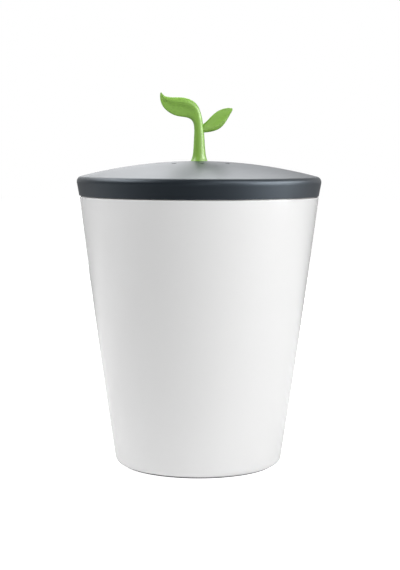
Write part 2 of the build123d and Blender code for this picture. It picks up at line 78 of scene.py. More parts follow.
# What the lamps are aimed at, in metres
BIN_MIDDLE = Vector((0.0, 0.0, 0.14))
WHITE = (1.0, 1.0, 1.0, 1.0)
# Corners this close are one, in metres, and those where parts of the lid meet may lie further off
MERGE_DISTANCE = 2e-6
SEAM_DISTANCE = 10 * MERGE_DISTANCE
# Radius of most small rounded edges
EDGE = 0.4
# A rounding over 1 mm gets more faces than a small one
LARGE_ROUNDING = 1.0
SMALL_STEPS, LARGE_STEPS = 3, 5
# Degrees, past which an edge is shaded sharp
SHARP_ANGLE = 40.0
# Octaves of the noise in the patches of colour and in the grain
PATCH_DETAIL = 2.0
GRAIN_DETAIL = 3.0
# A wave texture of scale 1 turns through 20 radians in one metre
WAVE_RADIANS = 20
# Two loops in one plane are bridged with one of them lifted, or the bridge pairs them the wrong way
LIFT = Vector((0.0, 0.0, 0.02))


class Body(Enum):
    """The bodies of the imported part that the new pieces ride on."""

    CROCK = "crock"
    BUCKET = "bucket"
    LID = "lid"


class Slot(Enum):
    """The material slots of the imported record."""

    CROCK = "crock_gloss_white"
    FOOT = "foot_rubber"
    BUCKET = "bucket_plastic"
    BAIL = "bail_plastic"
    LID = "lid_slate"
    SEAL = "seal_silicone"
    SPROUT = "sprout_green"
    STEEL = "screw_steel"
    FELT = "charcoal_felt"


def linear(hex_colour: str) -> tuple[float, float, float, float]:
    """Turns an sRGB colour into linear light.

    Args:
        hex_colour: six hex digits after a hash sign.

    Returns:
        Red, green, blue and an alpha of 1.
    """
    channels = [int(hex_colour[start : start + 2], 16) / 255 for start in (1, 3, 5)]
    red, green, blue = (c / 12.92 if c <= 0.04045 else ((c + 0.055) / 1.055) ** 2.4 for c in channels)
    return red, green, blue, 1.0


def add_node(
    tree: bpy.types.NodeTree,
    kind: str,
    settings: Mapping[str | int, Any] | None = None,
    links: Mapping[str | int, bpy.types.NodeSocket] | None = None,
) -> bpy.types.Node:
    """Adds one node, sets it up and links what feeds it.

    Args:
        tree: the tree that the node goes into.
        kind: the node's type.
        settings: values, each by the name of a setting or the name or number of an input.
        links: outputs of other nodes, each by the name or number of the input that it feeds.

    Returns:
        The new node.
    """
    node = tree.nodes.new(kind)
    for key, value in (settings or {}).items():
        if isinstance(key, str) and hasattr(node, key):
            setattr(node, key, value)
        else:
            node.inputs[key].default_value = value
    for key, output in (links or {}).items():
        tree.links.new(output, node.inputs[key])
    return node


@dataclass(frozen=True)
class Finish:
    """A moulded surface: two close colours in soft patches, and a fine grain from the mould.

    Attributes:
        name: what the material is and how its surface was made.
        slot: the record's slot that it stands for.
        colour: sRGB colour of most of the surface.
        shade: sRGB colour of the patches.
        roughness: roughness in the middle of its range.
        ior: index of refraction.
        tint: sRGB colour of what it mirrors straight on.
        grain: distance between the bumps of the grain, in millimetres.
        relief: height of the grain, in millimetres.
        patch: size of the patches of colour and gloss, in millimetres.
        unevenness: how far the roughness strays from patch to patch.
    """

    name: str
    slot: Slot
    colour: str
    shade: str
    roughness: float
    ior: float = 1.5
    tint: str = "#ffffff"
    grain: float = 1.0
    relief: float = 0.01
    patch: float = 30.0
    unevenness: float = 0.02

    def material(self) -> bpy.types.Material:
        """Builds the node material.

        Returns:
            The new material.
        """
        material = bpy.data.materials.new(self.name)
        material.use_nodes = True
        material.diffuse_color = linear(self.colour)
        tree = material.node_tree
        shader = tree.nodes["Principled BSDF"]
        shader.inputs["IOR"].default_value = self.ior
        shader.inputs["Specular Tint"].default_value = linear(self.tint)
        place = add_node(tree, "ShaderNodeTexCoord").outputs["Object"]
        scale = 1 / (self.patch * MM)
        patches = add_node(
            tree, "ShaderNodeTexNoise", {"Scale": scale, "Detail": PATCH_DETAIL}, {"Vector": place}
        )
        colour = add_node(
            tree,
            "ShaderNodeMix",
            {"data_type": "RGBA", 6: linear(self.colour), 7: linear(self.shade)},
            {0: patches.outputs["Fac"]},
        )
        gloss = add_node(
            tree,
            "ShaderNodeMapRange",
            {3: self.roughness - self.unevenness, 4: self.roughness + self.unevenness},
            {0: patches.outputs["Fac"]},
        )
        tree.links.new(colour.outputs[2], shader.inputs["Base Color"])
        tree.links.new(gloss.outputs[0], shader.inputs["Roughness"])
        bump = add_node(
            tree, "ShaderNodeBump", {"Distance": self.relief * MM}, {"Height": self.height(tree, place)}
        )
        tree.links.new(bump.outputs["Normal"], shader.inputs["Normal"])
        self.refine(shader)
        return material

    def height(self, tree: bpy.types.NodeTree, place: bpy.types.NodeSocket) -> bpy.types.NodeSocket:
        """Adds the pattern of the grain.

        Args:
            tree: the material's node tree.
            place: the piece's own coordinates, in metres.

        Returns:
            The output that gives the height, from 0 to 1.
        """
        scale = 1 / (self.grain * MM)
        noise = add_node(
            tree, "ShaderNodeTexNoise", {"Scale": scale, "Detail": GRAIN_DETAIL}, {"Vector": place}
        )
        return noise.outputs["Fac"]

    def refine(self, shader: bpy.types.Node) -> None:
        """Sets what this kind of surface adds on the shader itself; a plain moulding adds nothing."""


@dataclass(frozen=True)
class Coated(Finish):
    """A moulding whose gloss lies over the colour as a thin clear skin.

    Attributes:
        coat: strength of the skin.
        coat_roughness: roughness of the skin.
    """

    coat: float = 0.1
    coat_roughness: float = 0.2

    def refine(self, shader: bpy.types.Node) -> None:
        """Sets the skin's strength and roughness."""
        shader.inputs["Coat Weight"].default_value = self.coat
        shader.inputs["Coat Roughness"].default_value = self.coat_roughness


@dataclass(frozen=True)
class Felt(Finish):
    """Open felt: coarse cells between stiff fibres, over the fine fuzz of the fibres themselves.

    Attributes:
        cell: size of the open cells, in millimetres.
        sheen: strength of the faint sheen of loose fibre ends.
    """

    cell: float = 1.6
    sheen: float = 0.15

    def height(self, tree: bpy.types.NodeTree, place: bpy.types.NodeSocket) -> bpy.types.NodeSocket:
        """Adds the cells and the fuzz.

        Args:
            tree: the material's node tree.
            place: the piece's own coordinates, in metres.

        Returns:
            The output that gives the height.
        """
        cells = add_node(
            tree,
            "ShaderNodeTexVoronoi",
            {"feature": "DISTANCE_TO_EDGE", "Scale": 1 / (self.cell * MM)},
            {"Vector": place},
        )
        fuzz = super().height(tree, place)
        total = add_node(
            tree, "ShaderNodeMath", {"operation": "SUBTRACT"}, {0: fuzz, 1: cells.outputs["Distance"]}
        )
        return total.outputs[0]

    def refine(self, shader: bpy.types.Node) -> None:
        """Sets the sheen's strength."""
        shader.inputs["Sheen Weight"].default_value = self.sheen


@dataclass(frozen=True)
class Rubber(Finish):
    """Soft rubber or silicone, which light enters a little way.

    Attributes:
        cloudiness: share of the light that enters it.
        depth: how far the light gets, in millimetres.
    """

    cloudiness: float = 0.0
    depth: float = 0.0

    def refine(self, shader: bpy.types.Node) -> None:
        """Sets how much light enters and how far."""
        shader.inputs["Subsurface Weight"].default_value = self.cloudiness
        shader.inputs["Subsurface Scale"].default_value = self.depth * MM


@dataclass(frozen=True)
class TurnedSteel(Finish):
    """Stainless steel with the fine rings that the lathe leaves about the axis.

    Attributes:
        waver: how far the rings stray from round.
    """

    waver: float = 0.4

    def height(self, tree: bpy.types.NodeTree, place: bpy.types.NodeSocket) -> bpy.types.NodeSocket:
        """Adds the rings.

        Args:
            tree: the material's node tree.
            place: the piece's own coordinates, in metres.

        Returns:
            The output that gives the height.
        """
        settings = {
            "wave_type": "RINGS",
            "rings_direction": "Z",
            "Scale": math.tau / WAVE_RADIANS / (self.grain * MM),
            "Distortion": self.waver,
        }
        return add_node(tree, "ShaderNodeTexWave", settings, {"Vector": place}).outputs["Fac"]

    def refine(self, shader: bpy.types.Node) -> None:
        """Makes it metal."""
        shader.inputs["Metallic"].default_value = 1.0


# Polished ABS: white with a hint of grey, and the slight orange peel of a thick moulding
CROCK_FINISH = Finish(
    "white_abs_polished_moulding",
    Slot.CROCK,
    colour="#e8e8e8",
    shade="#e7e7e7",
    roughness=0.12,
    grain=6.0,
    relief=0.004,
    patch=90.0,
    unevenness=0.01,
)
# Thermoplastic rubber: mid grey, dull, with a fine matt texture. Its grey is set dark so that the
# ring's side also stands in for the contact shadow under the base, a painted shadow in part. Its grain
# is drawn coarser to show
FOOT_FINISH = Rubber(
    "grey_rubber_darkened_as_shadow_line",
    Slot.FOOT,
    colour="#6c6c6e",
    shade="#727274",
    roughness=0.75,
    grain=0.6,
    relief=0.03,
)
# Polypropylene: mid grey and waxy, from a fine-textured tool
BUCKET_FINISH = Finish(
    "grey_polypropylene_moulding",
    Slot.BUCKET,
    colour="#6a6d6f",
    shade="#656869",
    roughness=0.42,
    grain=1.2,
    relief=0.012,
)
# Polypropylene: slate grey, the bail's own moulding
BAIL_FINISH = Finish(
    "slate_polypropylene_moulding",
    Slot.BAIL,
    colour="#3f4347",
    shade="#3a3e42",
    roughness=0.4,
    grain=1.0,
    relief=0.012,
)
# ABS from a spark-eroded tool: dark slate with a satin bloom. The grain, about 0.1 mm, is drawn
# at 0.9 mm so that it shows
LID_FINISH = Finish(
    "slate_abs_spark_eroded_moulding",
    Slot.LID,
    colour="#151b21",
    shade="#13191f",
    roughness=0.42,
    ior=1.6,
    tint="#e0f0ff",
    grain=0.9,
    relief=0.008,
    patch=45.0,
)
# Silicone: grey and cloudy, so light enters it
SEAL_FINISH = Rubber(
    "grey_silicone_moulding",
    Slot.SEAL,
    colour="#aeb1b2",
    shade="#a5a8a9",
    roughness=0.45,
    ior=1.41,
    grain=1.5,
    relief=0.01,
    cloudiness=0.3,
    depth=1.0,
)
# ABS: leaf green, satin, a touch yellower in patches as coloured resin is
SPROUT_FINISH = Coated(
    "leaf_green_abs_satin_moulding",
    Slot.SPROUT,
    colour="#95c852",
    shade="#91c44e",
    roughness=0.4,
    ior=1.6,
    grain=2.2,
    relief=0.003,
    patch=14.0,
)
# Stainless steel, turned, with rings 0.3 mm apart
STEEL_FINISH = TurnedSteel(
    "turned_stainless_steel",
    Slot.STEEL,
    colour="#b9b7b2",
    shade="#aeaca8",
    roughness=0.3,
    grain=0.3,
    relief=0.01,
)
# Polyester felt loaded with activated carbon: near black, matt, open
FELT_FINISH = Felt(
    "activated_carbon_felt",
    Slot.FELT,
    colour="#1b1b1c",
    shade="#29292a",
    roughness=0.9,
    grain=0.35,
    relief=0.5,
    patch=6.0,
)


class Paints:
    """Makes each finish's material once and hands it out."""

    def __init__(self) -> None:
        """Starts with no materials."""
        self.made: dict[str, bpy.types.Material] = {}

    def of(self, finish: Finish) -> bpy.types.Material:
        """Gives a finish's material, made when it is first asked for."""
        if finish.name not in self.made:
            self.made[finish.name] = finish.material()
        return self.made[finish.name]

    def dress_node(self, frame: Mapping[str, Any], node: str, finish: Finish) -> None:
        """Gives a CAD node that stays in view its finish.

        Args:
            node: the node's name.
            finish: its finish.
        """
        materials = frame["nodes"][node].data.materials
        materials.clear()
        materials.append(self.of(finish))
        LOG.info("%s: CAD mesh, %s", node, finish.name)


# Sets and bevels give corners and edges in another order in each run. So the first two of these
# keep to the order in which they are met, and the others sort by place


def edges_at(corners: Iterable[bmesh.types.BMVert]) -> list[bmesh.types.BMEdge]:
    """Gives the edges that meet some corners, each once."""
    return list(dict.fromkeys(edge for corner in corners for edge in corner.link_edges))


def corners_of(edges: Iterable[bmesh.types.BMEdge]) -> list[bmesh.types.BMVert]:
    """Gives the corners of some edges, each once."""
    return list(dict.fromkeys(corner for edge in edges for corner in edge.verts))


def put_in_order(
    elements: bmesh.types.BMVertSeq | bmesh.types.BMFaceSeq, place: Callable[[Any], Vector]
) -> None:
    """Sorts a mesh's corners or faces.

    Args:
        elements: the mesh's own list of them.
        place: gives the point that one of them is sorted by.
    """
    for index, element in enumerate(sorted(elements, key=lambda element: place(element)[:])):
        element.index = index
    elements.sort()


def merge_corners(shape: bmesh.types.BMesh, distance: float = MERGE_DISTANCE) -> None:
    """Makes one corner of those that lie this close together, in metres."""
    put_in_order(shape.verts, lambda corner: corner.co)
    bmesh.ops.remove_doubles(shape, verts=shape.verts[:], dist=distance)


def spin(
    shape: bmesh.types.BMesh,
    geom: Sequence[bmesh.types.BMVert | bmesh.types.BMEdge | bmesh.types.BMFace],
    angle: float,
    steps: int,
    *,
    centre: Sequence[float] = ORIGIN,
    axis: Sequence[float] = UP,
    merge: bool = False,
    duplicate: bool = False,
) -> dict[str, Any]:
    """Turns part of a mesh about an axis, and sweeps faces or edges as it goes.

    Args:
        shape: the mesh.
        geom: what is turned.
        angle: how far, in radians.
        steps: the number of steps.
        centre: a point on the axis, in metres.
        axis: the axis's direction.
        merge: whether the last step joins the first.
        duplicate: whether each step is a loose copy.

    Returns:
        What the operator made.
    """
    return bmesh.ops.spin(
        shape,
        geom=geom,
        cent=centre,
        axis=axis,
        dvec=ORIGIN,
        angle=angle,
        steps=steps,
        use_merge=merge,
        use_normal_flip=False,
        use_duplicate=duplicate,
    )


class Section:
    """A section in the XZ plane, drawn with a pen from corner to corner and then turned about Z."""

    def __init__(self, radius: float, height: float, rounding: float = 0.0) -> None:
        """Sets the pen down.

        Args:
            radius: distance from the Z axis.
            height: height above the floor.
            rounding: radius of the rounding that this corner gets.
        """
        self.mesh = bmesh.new()
        self.first = self.mesh.verts.new((radius * MM, 0.0, height * MM))
        self.last = self.first
        self.roundings: list[tuple[bmesh.types.BMVert, float]] = []
        if rounding:
            self.roundings.append((self.first, rounding))

    def line(self, radius: float, height: float, rounding: float = 0.0) -> Section:
        """Draws a straight line.

        Args:
            radius: where it ends, from the Z axis.
            height: where it ends, above the floor.
            rounding: radius of the rounding that its end gets.

        Returns:
            The section, for the next line.
        """
        made = bmesh.ops.extrude_vert_indiv(self.mesh, verts=[self.last])
        self.last = made["verts"][0]
        self.last.co = (radius * MM, 0.0, height * MM)
        if rounding:
            self.roundings.append((self.last, rounding))
        return self

    def sweep(self, centre: tuple[float, float], angle: float, steps: int) -> Section:
        """Draws an arc.

        Args:
            centre: its centre, as a radius and a height.
            angle: how far it turns, in degrees, from the radius towards the height.
            steps: the number of its edges.

        Returns:
            The section, for the next line.
        """
        middle = (centre[0] * MM, 0.0, centre[1] * MM)
        turn = -math.radians(angle)
        made = spin(self.mesh, [self.last], turn, steps, centre=middle, axis=FORWARD)
        self.last = next(item for item in made["geom_last"] if isinstance(item, bmesh.types.BMVert))
        return self

    def bow(
        self, radius: float, height: float, belly: float, steps: int, rounding: float = 0.0
    ) -> Section:
        """Draws a side that bows away from the axis.

        Args:
            radius: where it ends, from the Z axis.
            height: where it ends, above the floor.
            belly: how far its middle lies outside the straight line, measured level.
            steps: the number of its edges.
            rounding: radius of the rounding that its end gets.

        Returns:
            The section, for the next line.
        """
        start = Vector((self.last.co.x, self.last.co.z)) / MM
        chord = Vector((radius, height)) - start
        outward = Vector((abs(chord.y), -math.copysign(chord.x, chord.x * chord.y))) / chord.length
        sagitta = belly * outward.x
        arc_radius = (chord.length**2 / 4 + sagitta**2) / (2 * sagitta)
        centre = start + chord / 2 - outward * (arc_radius - sagitta)
        angle = math.degrees(2 * math.asin(chord.length / 2 / arc_radius))
        self.sweep((centre.x, centre.y), math.copysign(angle, chord.y), steps)
        self.last.co = (radius * MM, 0.0, height * MM)
        if rounding:
            self.roundings.append((self.last, rounding))
        return self

    def filled(self) -> bmesh.types.BMFace:
        """Closes the section with a face and rounds its corners.

        Returns:
            The face.
        """
        bmesh.ops.contextual_create(self.mesh, geom=[self.last, self.first])
        bmesh.ops.contextual_create(self.mesh, geom=self.mesh.edges[:])
        for corner, radius in self.roundings:
            ways = [edge.other_vert(corner).co - corner.co for edge in corner.link_edges]
            half_angle = ways[0].angle(ways[1]) / 2
            bmesh.ops.bevel(
                self.mesh,
                geom=[corner],
                offset=radius * MM / math.tan(half_angle),
                offset_type="OFFSET",
                segments=LARGE_STEPS if radius > LARGE_ROUNDING else SMALL_STEPS,
                profile=0.5,
                affect="VERTICES",
                material=-1,
            )
        self.mesh.faces.ensure_lookup_table()
        return self.mesh.faces[0]

    def turned(self, steps: int, closed: bool = True) -> bmesh.types.BMesh:
        """Turns the section all the way round the Z axis.

        Args:
            steps: the number of faces round the axis.
            closed: whether the line from the last corner back to the first is turned too.

        Returns:
            The mesh, which has no open edge if the section is closed or both its ends are on the axis.
        """
        first = self.first.co.copy()
        last = self.last.co.copy()
        self.filled()
        bmesh.ops.delete(self.mesh, geom=self.mesh.faces[:], context="FACES_ONLY")
        unwanted = [
            edge
            for edge in self.mesh.edges
            if all(abs(vert.co.x) < MERGE_DISTANCE for vert in edge.verts)
            or not closed
            and {tuple(vert.co) for vert in edge.verts} == {tuple(first), tuple(last)}
        ]
        bmesh.ops.delete(self.mesh, geom=unwanted, context="EDGES")
        spin(self.mesh, self.mesh.verts[:] + self.mesh.edges[:], math.tau, steps, merge=True)
        merge_corners(self.mesh)
        return self.mesh

    def part_turned(self, start: float, angle: float, steps: int) -> bmesh.types.BMesh:
        """Turns the filled section part of the way round the Z axis.

        Args:
            start: where it starts, in degrees from +X.
            angle: how far it turns, in degrees.
            steps: the number of faces round the axis.

        Returns:
            The closed mesh.
        """
        self.filled()
        whole = self.mesh.verts[:] + self.mesh.edges[:] + self.mesh.faces[:]
        spin(self.mesh, whole, math.radians(angle), steps)
        return self.aimed(start)

    def slab(self, width: float, angle: float) -> bmesh.types.BMesh:
        """Gives the filled section a width and turns it to its place about the Z axis.

        Args:
            width: the slab's width, half of it on each side of the section.
            angle: its direction, in degrees from +X.

        Returns:
            The closed mesh.
        """
        face = self.filled()
        grown = bmesh.ops.extrude_face_region(self.mesh, geom=[face], use_keep_orig=True)
        moved = [item for item in grown["geom"] if isinstance(item, bmesh.types.BMVert)]
        bmesh.ops.translate(self.mesh, vec=(0, width * MM, 0), verts=moved)
        bmesh.ops.translate(self.mesh, vec=(0, -width * MM / 2, 0), verts=self.mesh.verts[:])
        return self.aimed(angle)

    def aimed(self, angle: float) -> bmesh.types.BMesh:
        """Turns all that was made of the section to a direction, in degrees from +X."""
        turn = Matrix.Rotation(math.radians(angle), 4, "Z")
        bmesh.ops.transform(self.mesh, matrix=turn, verts=self.mesh.verts[:])
        return self.mesh


def absorb(target: bmesh.types.BMesh, source: bmesh.types.BMesh) -> None:
    """Moves all of one mesh into another.

    Args:
        target: the mesh that grows.
        source: the mesh that is used up.
    """
    carrier = bpy.data.meshes.new("carrier")
    source.to_mesh(carrier)
    source.free()
    target.from_mesh(carrier)
    bpy.data.meshes.remove(carrier)


def finish_piece(
    name: str,
    shape: bmesh.types.BMesh,
    body: Body,
    finish: Finish,
    paints: Paints,
    replaces: Sequence[str],
    subdivisions: int = 0,
) -> bpy.types.Object:
    """Makes a piece of a mesh and hands it to the frame.

    Args:
        name: the piece's name.
        shape: its mesh, in metres, which is used up.
        body: the body that it rides on.
        finish: its finish.
        paints: where its material comes from.
        replaces: the CAD nodes that it stands for.
        subdivisions: levels of Subdivision Surface, or none for a piece with bevelled edges.

    Returns:
        The piece.
    """
    merge_corners(shape)
    put_in_order(shape.faces, lambda face: face.calc_center_median())
    bmesh.ops.recalc_face_normals(shape, faces=shape.faces[:])
    open_edges = sum(1 for edge in shape.edges if len(edge.link_faces) != 2)
    mesh = bpy.data.meshes.new(name)
    shape.to_mesh(mesh)
    shape.free()
    mesh.shade_smooth()
    piece = bpy.data.objects.new(name, mesh)
    bpy.context.scene.collection.objects.link(piece)
    if subdivisions:
        smoothing = piece.modifiers.new("Subdivision", "SUBSURF")
        smoothing.levels = subdivisions
        smoothing.render_levels = subdivisions
    else:
        mesh.set_sharp_from_angle(angle=math.radians(SHARP_ANGLE))
        weighting = piece.modifiers.new("Weighted normals", "WEIGHTED_NORMAL")
        weighting.keep_sharp = True
    mesh.materials.append(paints.of(finish))
    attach(piece, body.value)
    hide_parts(*replaces)
    LOG.info("%s: %d faces, %d open edges, %s", name, len(mesh.polygons), open_edges, finish.name)
    return piece


@dataclass
class Crock:
    """The tapered crock and the rubber ring let into its base.

    Attributes:
        base: height of the underside.
        floor: height of the floor inside.
        shoulder: height of the step that the lid's band comes down to.
        neck: height of the top of the neck.
        base_radius: where the side would meet the base unrounded.
        rim_radius: outside, at the shoulder.
        neck_radius: outside of the neck.
        wall: thickness of the side.
        belly: how far the side bows out of a straight cone.
        heel: radius of the rounding round the base.
        ring: the ring's inner and outer radius.
        ring_top: height of the ring's top, inside its groove.
        groove_play: gap between the ring and the groove's walls.
        shoulder_edge: radius of the rounding round the shoulder.
        inner_heel: radius of the rounding round the floor inside.
        heel_steps: edges of the section along the heel.
        side_steps: edges along the side, outside and inside.
        steps: faces round the axis.
    """

    base: float = 1.0
    floor: float = 5.0
    shoulder: float = 217.6
    neck: float = 223.0
    base_radius: float = 67.25
    rim_radius: float = 96.5
    neck_radius: float = 93.91
    wall: float = 4.0
    belly: float = 0.73
    heel: float = 5.6
    ring: tuple[float, float] = (57.0, 62.5)
    ring_top: float = 2.5
    groove_play: float = 0.1
    shoulder_edge: float = 0.5
    inner_heel: float = 5.0
    heel_steps: int = 10
    side_steps: tuple[int, int] = (14, 10)
    steps: int = 180

    def radius_at(self, height: float) -> float:
        """Outside radius of the side at a height."""
        share = (height - self.base) / (self.shoulder - self.base)
        bow = self.belly * 4 * share * (1 - share)
        return self.base_radius + (self.rim_radius - self.base_radius) * share + bow

    def belly_above(self, height: float) -> float:
        """How far the side above a height bows out of its own straight line."""
        return self.belly * ((self.shoulder - height) / (self.shoulder - self.base)) ** 2

    def build(self, paints: Paints) -> None:
        """Makes the crock and its ring."""
        lean = math.atan((self.radius_at(self.base + self.heel) - self.base_radius) / self.heel)
        heel_r = self.base_radius + self.heel * math.tan(lean) - self.heel / math.cos(lean)
        heel_z = self.base + self.heel
        groove = (self.ring[0] - self.groove_play, self.ring[1] + self.groove_play)
        groove_angle = math.acos((groove[1] - heel_r) / self.heel)
        side_start = heel_z - self.heel * math.sin(lean)
        neck_inside = self.rim_radius - self.wall
        section = Section(0, self.base)
        section.line(groove[0], self.base)
        section.line(groove[0], self.ring_top)
        section.line(groove[1], self.ring_top)
        section.line(groove[1], heel_z - self.heel * math.sin(groove_angle))
        section.sweep((heel_r, heel_z), math.degrees(groove_angle - lean), self.heel_steps)
        belly = self.belly_above(side_start)
        section.bow(self.rim_radius, self.shoulder, belly, self.side_steps[0], self.shoulder_edge)
        section.line(self.neck_radius, self.shoulder)
        section.line(self.neck_radius, self.neck, EDGE)
        section.line(neck_inside, self.neck, EDGE)
        section.line(neck_inside, self.shoulder)
        inside = self.radius_at(self.floor) - self.wall
        belly = self.belly_above(self.floor)
        section.bow(inside, self.floor, belly, self.side_steps[1], self.inner_heel)
        section.line(0, self.floor)
        shape = section.turned(self.steps)
        finish_piece("crock", shape, Body.CROCK, CROCK_FINISH, paints, ["outer_crock"])
        ring = Section(self.ring[0], 0, EDGE)
        ring.line(self.ring[1], 0, EDGE)
        ring.line(self.ring[1], self.ring_top)
        ring.line(self.ring[0], self.ring_top)
        shape = ring.turned(self.steps)
        finish_piece("foot_ring_rubber", shape, Body.CROCK, FOOT_FINISH, paints, ["foot_ring"])


@dataclass
class Bucket:
    """The liner bucket, with the bosses and rests for its bail.

    Attributes:
        base: height of the underside.
        floor: height of the floor inside.
        neck: height of the flange's underside.
        flange: height of the flange's top.
        base_radius: where the side would meet the base unrounded.
        top_radius: outside, under the flange.
        flange_radius: outside of the flange.
        wall: thickness of the side, measured level.
        heel: radius of the rounding round the base.
        pivot: height of the bail's pegs.
        boss: inner and outer radius of a boss.
        boss_face: distance of a boss's face from the axis.
        rest_angles: where the rests stand, in degrees from +X.
        rest_width: width of a rest.
        rest_top: height of a rest's top.
        rest_lip: height of a rest's inner end.
        rest_height: how far a rest reaches down the wall.
        rest_radius: distance of a rest's inner end from the axis.
        flange_edges: radii of the rounding outside and inside the flange's top.
        boss_steps: faces round a boss.
        steps: faces round the axis.
    """

    base: float = 16.0
    floor: float = 18.0
    neck: float = 223.0
    flange: float = 224.8
    base_radius: float = 61.5
    top_radius: float = 91.9
    flange_radius: float = 93.91
    wall: float = 1.82
    heel: float = 10.0
    pivot: float = 208.0
    boss: tuple[float, float] = (3.08, 6.5)
    boss_face: float = 84.68
    rest_angles: tuple[float, float] = (38.0, 142.0)
    rest_width: float = 5.0
    rest_top: float = 205.3
    rest_lip: float = 1.5
    rest_height: float = 9.0
    rest_radius: float = 82.38
    flange_edges: tuple[float, float] = (0.5, 0.7)
    boss_steps: int = 40
    steps: int = 144

    def inside_at(self, height: float) -> float:
        """Inside radius of the side at a height."""
        slope = (self.top_radius - self.base_radius) / (self.neck - self.base)
        return self.base_radius + slope * (height - self.base) - self.wall

    def boss_shape(self, turn: float) -> bmesh.types.BMesh:
        """One boss, a short tube that the wall closes.

        Args:
            turn: where it stands, in degrees from +X.

        Returns:
            Its mesh.
        """
        root = self.inside_at(self.pivot) + self.wall / 2
        section = Section(self.boss[0], self.boss_face)
        section.line(self.boss[0], root)
        section.line(self.boss[1], root)
        section.line(self.boss[1], self.boss_face, EDGE)
        shape = section.turned(self.boss_steps)
        place = Matrix.Rotation(math.radians(turn), 4, "Z")
        place @= Matrix.Translation((0, 0, self.pivot * MM)) @ Matrix.Rotation(math.radians(90), 4, "Y")
        bmesh.ops.transform(shape, matrix=place, verts=shape.verts[:])
        return shape

    def rest_shape(self, angle: float) -> bmesh.types.BMesh:
        """One rest, a gusset that stands out of the wall.

        Args:
            angle: where it stands, in degrees from +X.

        Returns:
            Its mesh.
        """
        foot = self.rest_top - self.rest_height
        section = Section(self.rest_radius, self.rest_top, EDGE)
        section.line(self.rest_radius, self.rest_top - self.rest_lip, EDGE)
        section.line(self.inside_at(foot) + self.wall / 2, foot)
        section.line(self.inside_at(self.rest_top) + self.wall / 2, self.rest_top)
        return section.slab(self.rest_width, angle)

    def build(self, paints: Paints) -> None:
        """Makes the bucket."""
        section = Section(0, self.base)
        section.line(self.base_radius, self.base, self.heel)
        section.line(self.top_radius, self.neck)
        section.line(self.flange_radius, self.neck)
        section.line(self.flange_radius, self.flange, self.flange_edges[0])
        section.line(self.inside_at(self.flange), self.flange, self.flange_edges[1])
        section.line(self.inside_at(self.floor), self.floor, self.heel - self.wall)
        section.line(0, self.floor)
        shape = section.turned(self.steps)
        for turn in (0.0, 180.0):
            absorb(shape, self.boss_shape(turn))
        for angle in self.rest_angles:
            absorb(shape, self.rest_shape(angle))
        finish_piece("liner_bucket", shape, Body.BUCKET, BUCKET_FINISH, paints, ["inner_bucket"])


